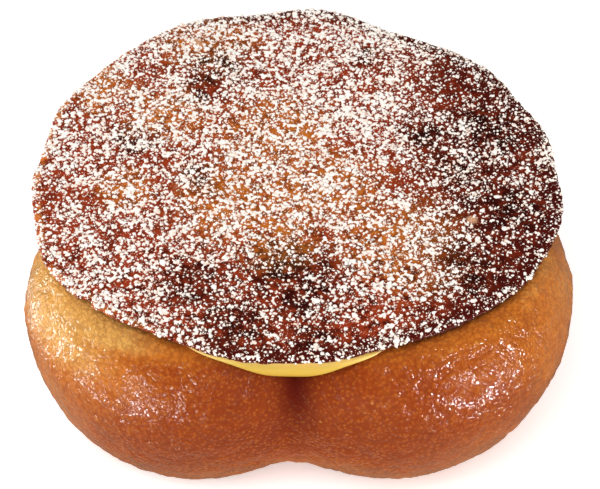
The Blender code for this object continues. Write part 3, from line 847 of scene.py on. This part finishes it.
def sugar_tree(material):
    """Uneven lumps scattered in drifts over the disc's top, fewer on its bare spots."""
    numbers = ("Least width", "Largest width", "Density", "Drift width", "Thinnest", "Oiliness", "Rim share")
    kinds = {"objects": ("Disc",), "counts": ("Seed", "Sides", "Rows"), "places": ("Centre",)}
    recipe, given = new_tree("sugar", numbers=numbers, **kinds)
    times, minus, between = recipe.times, recipe.minus, recipe.between
    place = recipe.place()

    # How densely the lumps lie
    drifts = recipe.ramp(recipe.grain(place, given["Drift width"], 2.0, 0.5), 0.42, 0.58)
    plenty = recipe.times_plus(sugar_plenty(recipe, place, given["Centre"]), 0.5, 0.5)
    density = times(given["Density"], times(between(drifts, given["Thinnest"], 1.0), plenty))
    rim = recipe.node("GeometryNodeInputNamedAttribute", {"Name": "rim"}, data_type="FLOAT").outputs[0]
    density = times(density, recipe.ramp(rim, 0.97, 1.0, 1.0, given["Rim share"]))
    facing_up = recipe.math("GREATER_THAN", recipe.parts(recipe.normal())["Z"], -0.4)
    inputs = {"Mesh": recipe.form_of(given["Disc"]), "Selection": facing_up}
    inputs |= {"Density": density, "Seed": given["Seed"]}
    scatter = recipe.node("GeometryNodeDistributePointsOnFaces", inputs, distribute_method="RANDOM")

    # A few uneven shapes to pick from
    shapes = recipe.node("GeometryNodeGeometryToInstance")
    for order in range(LUMP_SHAPES):
        within = recipe.vector("ADD", place, (7.3 * order, 2.1, 0.0))
        inputs = {"Vector": within, "Scale": 1.9, "Detail": 1.0}
        uneven = recipe.node("ShaderNodeTexNoise", inputs).outputs["Color"]
        offset = recipe.vector("SUBTRACT", uneven, (0.5, 0.5, 0.32))
        lump = recipe.moved(recipe.ball(given["Sides"], given["Rows"], 0.5), Offset=offset)
        recipe.tree.links.new(lump, shapes.inputs[0])

    # Each lump's own size, narrowness, height, turn and shape
    large, narrow, rise = recipe.draw(0.0, 1.0, 1), recipe.draw(0.6, 1.0, 2), recipe.draw(0.45, 0.8, 3)
    size = times(recipe.math("POWER", large, 2.0), between(drifts, 0.4, 1.0))
    width = between(size, given["Least width"], given["Largest width"])
    points = recipe.marked(scatter.outputs["Points"], "thinness", times(given["Oiliness"], minus(1.0, size)))
    inputs = {"Points": points, "Instance": shapes.outputs[0], "Pick Instance": True}
    inputs["Instance Index"] = recipe.draw(0, LUMP_SHAPES - 1, 8, "INT")
    inputs["Rotation"] = recipe.draw((-0.35, -0.35, 0.0), (0.35, 0.35, math.tau), 7, "FLOAT_VECTOR")
    inputs["Scale"] = recipe.vector("SCALE", recipe.join(1.0, narrow, rise), scale=width)
    lumps = recipe.node("GeometryNodeInstanceOnPoints", inputs).outputs[0]
    return close_tree(recipe, lumps, material)


def clump_mesh(draw, settings, place):
    """A low lump with uneven sides, half sunk in the disc."""
    lump = bmesh.new()
    radius = draw.uniform(settings.clump_least, settings.clump_most) / 2
    bmesh.ops.create_icosphere(lump, subdivisions=1, radius=radius)
    for vertex in lump.verts:
        vertex.co *= draw.uniform(0.75, 1.15)
    flatten = Matrix.Diagonal((1.0, draw.uniform(0.6, 1.0), 0.4, 1.0))
    turn = Matrix.Rotation(draw.uniform(0, math.tau), 4, "Z")
    bmesh.ops.subdivide_edges(lump, edges=lump.edges, cuts=2, use_grid_fill=True)
    for vertex in lump.verts:
        vertex.co += noise.noise_vector(vertex.co / CLUMP_GRAIN + place / MM) * CLUMP_ROUGHNESS_MM * MM
    bmesh.ops.transform(lump, matrix=Matrix.Translation(place) @ turn @ flatten, verts=lump.verts)
    return mesh_of(lump, "clump")


def sugar_clumps(settings, disc_settings, disc):
    """The largest clumps, on the same sunflower spiral as in the disc's solid."""
    draw = random.Random(CLUMP_SEED)
    noise.seed_set(CLUMP_SEED)  # vector noise is otherwise seeded by the clock
    golden_angle = math.pi * (3 - math.sqrt(5))
    surface = BVHTree.FromObject(disc, bpy.context.evaluated_depsgraph_get())
    joined = bmesh.new()
    stray = CLUMP_STRAY / disc_settings.radius
    for order in range(settings.clumps):
        out = math.sqrt((order + 0.5) / settings.clumps)
        azimuth = order * golden_angle + draw.uniform(-stray, stray) / out
        furthest = rim_reach(azimuth, disc_settings) - CLUMP_MARGIN
        reach = furthest * min(1.0, out + draw.uniform(-stray, stray))
        above = Vector(disc_settings.centre) + at_azimuth(azimuth, reach, CLUMP_DROP)
        hit = surface.ray_cast(above, Vector((0, 0, -1)))[0]
        if hit is None:
            raise RuntimeError("a sugar clump missed the disc")
        mesh = clump_mesh(draw, settings, hit)
        joined.from_mesh(mesh)
        bpy.data.meshes.remove(mesh)
    mesh = mesh_of(joined, "sugar_clumps")
    mesh.shade_smooth()
    return new_piece("sugar_clumps", mesh)


class DOUGHNUT_OT_fry_bun(bpy.types.Operator):
    """Makes the four-lobed bun with its wrinkled golden crust."""

    bl_idname = "doughnut.fry_bun"
    bl_label = "Fry the bun"

    def execute(self, context):
        s = context.scene.doughnut_bun
        bun = new_piece("fried_bun", BunForm(s).mesh("fried_bun"))
        grow(bun, crust_tree(fried_dough(s)), settings_for(CRUST_SIZES, s))
        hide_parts("bun")
        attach(bun, "root")
        return {"FINISHED"}


class DOUGHNUT_OT_spread_cream(bpy.types.Operator):
    """Makes the smooth yellow cream that swells out between the bun and the disc."""

    bl_idname = "doughnut.spread_cream"
    bl_label = "Spread the cream"

    def execute(self, context):
        s = context.scene.doughnut_cream
        merged = bmesh.new()
        merged.from_mesh(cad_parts["cream"].data)
        bmesh.ops.remove_doubles(merged, verts=merged.verts, dist=0.002 * MM)
        limits = {"angle_face_threshold": math.pi, "angle_shape_threshold": math.pi}
        bmesh.ops.join_triangles(merged, faces=merged.faces, **limits)
        mesh = mesh_of(merged, "sweet_potato_cream")
        mesh.materials.append(smooth_cream(s))
        mesh.shade_smooth()
        cream = new_piece("sweet_potato_cream", mesh)
        smooth = cream.modifiers.new("smooth", "SUBSURF")
        smooth.levels = smooth.render_levels = s.smoothness
        made_real(cream)
        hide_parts("cream")
        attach(cream, "root")
        return {"FINISHED"}


class DOUGHNUT_OT_caramelise_disc(bpy.types.Operator):
    """Makes the thin wavy disc with its blistered caramel."""

    bl_idname = "doughnut.caramelise_disc"
    bl_label = "Caramelise the disc"

    def execute(self, context):
        s = context.scene.doughnut_disc
        disc = new_piece("crisp_disc", bpy.data.meshes.new("crisp_disc"))
        sizes = settings_for(("Sides", "Rows", "Centre", *DISC_SIZES), s)
        grow(disc, disc_tree(burnt_caramel(s)), sizes)
        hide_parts("caramel_disc")
        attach(disc, "root")
        return {"FINISHED"}


class DOUGHNUT_OT_dust_sugar(bpy.types.Operator):
    """Scatters powdered sugar over the disc: large clumps, grains and fine specks."""

    bl_idname = "doughnut.dust_sugar"
    bl_label = "Dust with sugar"

    def execute(self, context):
        s = context.scene.doughnut_sugar
        disc_settings = context.scene.doughnut_disc
        disc = bpy.data.objects["crisp_disc"]
        sugar = powdered_sugar(s)
        clumps = sugar_clumps(s, disc_settings, disc)
        clumps.data.materials.append(sugar)
        shared = {"Disc": disc, "Centre": disc_settings.centre}
        shared |= {"Drift width": s.drift_width, "Rim share": 1.5}
        dust = {"Seed": s.seed + 2, "Points": s.dust_points, "Spread": 2 * disc_settings.radius + 2 * MM}
        dust |= {"Width": s.dust_width, "Rise": s.dust_rise, "Cover": s.dust_cover}
        grains = {"Sides": 5, "Rows": 3, "Seed": s.seed, "Thinnest": 0.45, "Oiliness": 0.3}
        grains |= {"Least width": s.grain_least, "Largest width": s.grain_most, "Density": s.grain_density}
        specks = {"Sides": 4, "Rows": 2, "Seed": s.seed + 1, "Thinnest": 0.6, "Oiliness": 1.2}
        specks |= {"Least width": s.speck_least, "Largest width": s.speck_most, "Density": s.speck_density}
        laid, scattered = dusting_tree(sugar), sugar_tree(sugar)
        pieces = [clumps]
        trees = (("sugar_dusting", laid, dust), ("sugar_grains", scattered, grains))
        for name, tree, own in (*trees, ("sugar_specks", scattered, specks)):
            pieces.append(grow(new_piece(name, bpy.data.meshes.new(name)), tree, {**shared, **own}))
        for piece in pieces:
            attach(piece, "root")
        return {"FINISHED"}


class DOUGHNUT_OT_set_stage(bpy.types.Operator):
    """Makes the pale floor, the soft lights and the camera."""

    bl_idname = "doughnut.set_stage"
    bl_label = "Set the stage"

    def execute(self, context):
        s = context.scene.doughnut_stage
        scene = context.scene
        scene.view_settings.view_transform = "Standard"
        self.lay_floor(s)
        soft = (
            ("left", (-0.30, -0.02, 0.06), (0.20, 0.10), s.key_power),
            ("right", (0.26, -0.17, 0.06), (0.20, 0.10), s.key_power * 0.85),
            ("top", (-0.10, -0.30, 0.58), (0.6, 0.5), s.top_power),
        )
        for name, place, size, power in soft:
            self.hang_light(name, place, VIEW_MIDDLE, size, power)
        shines = (
            ("left_shine", (-0.085, 0.006, 0.007), LEFT_FLANK, (0.06, 0.010), 1.45),
            ("front_shine", (-0.060, -0.080, 0.013), VIEW_MIDDLE, (0.045, 0.012), 1.9),
            ("right_shine", (0.079, -0.078, 0.022), VIEW_MIDDLE, (0.04, 0.016), 4.2),
        )
        for name, place, aim, size, part in shines:
            self.hang_shine(s, name, place, aim, size, s.shine_power * part)
        world = bpy.data.worlds.new("soft_sky")
        world.use_nodes = True
        background = world.node_tree.nodes["Background"]
        background.inputs[0].default_value = (1.0, 1.0, 1.0, 1.0)
        background.inputs[1].default_value = s.sky
        scene.world = world
        world.cycles_visibility.glossy = False
        lens = bpy.data.cameras.new("camera")
        lens.lens, lens.sensor_width = s.lens, 36.0
        camera = bpy.data.objects.new("camera", lens)
        scene.collection.objects.link(camera)
        back = Vector((0, -math.cos(s.view_height), math.sin(s.view_height)))
        camera.location = VIEW_MIDDLE + back * s.view_distance
        camera.rotation_euler = (math.pi / 2 - s.view_height, 0, 0)
        scene.camera = camera
        return {"FINISHED"}

    def lay_floor(self, s):
        sheet = bmesh.new()
        bmesh.ops.create_grid(sheet, x_segments=1, y_segments=1, size=s.floor_size / 2)
        mesh = mesh_of(sheet, "floor")
        mesh.transform(Matrix.Translation((0, 0, -0.05 * MM)))
        uniform = {"Roughness": 0.9, "Specular IOR Level": 0.0, "Base Color": s.floor_white}
        uniform |= {"Emission Color": s.floor_white, "Emission Strength": s.floor_glow}
        mesh.materials.append(new_material("floor_white", uniform)[0])
        floor = new_piece("floor", mesh)
        floor.visible_glossy = False

    def hang_light(self, name, place, aim, size, power, glints=False):
        """Hangs a soft light, which isn't mirrored in the oil, or one that does nothing but glint in it."""
        light = bpy.data.lights.new(name, "AREA")
        light.shape = "RECTANGLE"
        light.size, light.size_y = size
        light.energy = power
        lamp = bpy.data.objects.new(name, light)
        lamp.visible_camera, lamp.visible_diffuse, lamp.visible_glossy = False, not glints, glints
        lamp.location = place
        lamp.rotation_euler = (Vector(place) - aim).to_track_quat("Z", "Y").to_euler()
        bpy.context.scene.collection.objects.link(lamp)
        return light

    def hang_shine(self, s, name, place, aim, size, power):
        """Hangs a glinting light behind a grid, which keeps it from the far side of the bun."""
        half = s.shine_beam / 2
        narrowed = power * (1 - half / math.tan(half))
        light = self.hang_light(name, place, aim, size, narrowed, glints=True)
        light.spread = s.shine_beam


class DOUGHNUT_PT_panel(bpy.types.Panel):
    """Lists the steps that make the doughnut and the sizes and colours that each of them reads."""

    bl_label = "Sweet Potato Doughnut"
    bl_idname = "DOUGHNUT_PT_panel"
    bl_space_type = "VIEW_3D"
    bl_region_type = "UI"
    bl_category = "Doughnut"

    def draw(self, context):
        for operator, settings in STEPS:
            box = self.layout.box()
            box.operator(operator.bl_idname)
            group = getattr(context.scene, settings)
            for name in group.__annotations__:
                box.prop(group, name)


GROUPS = {
    "doughnut_bun": BunSettings,
    "doughnut_cream": CreamSettings,
    "doughnut_disc": DiscSettings,
    "doughnut_sugar": SugarSettings,
    "doughnut_stage": StageSettings,
}
STEPS = (
    (DOUGHNUT_OT_fry_bun, "doughnut_bun"),
    (DOUGHNUT_OT_spread_cream, "doughnut_cream"),
    (DOUGHNUT_OT_caramelise_disc, "doughnut_disc"),
    (DOUGHNUT_OT_dust_sugar, "doughnut_sugar"),
    (DOUGHNUT_OT_set_stage, "doughnut_stage"),
)
CLASSES = (*GROUPS.values(), *(operator for operator, _ in STEPS), DOUGHNUT_PT_panel)


def register():
    for made in CLASSES:
        bpy.utils.register_class(made)
    for name, group in GROUPS.items():
        setattr(bpy.types.Scene, name, PointerProperty(type=group))


def unregister():
    for name in GROUPS:
        delattr(bpy.types.Scene, name)
    for made in reversed(CLASSES):
        bpy.utils.unregister_class(made)


def main():
    register()
    for operator, _ in STEPS:
        module, name = operator.bl_idname.split(".")
        getattr(getattr(bpy.ops, module), name)()


if __name__ == "__main__":
    main()
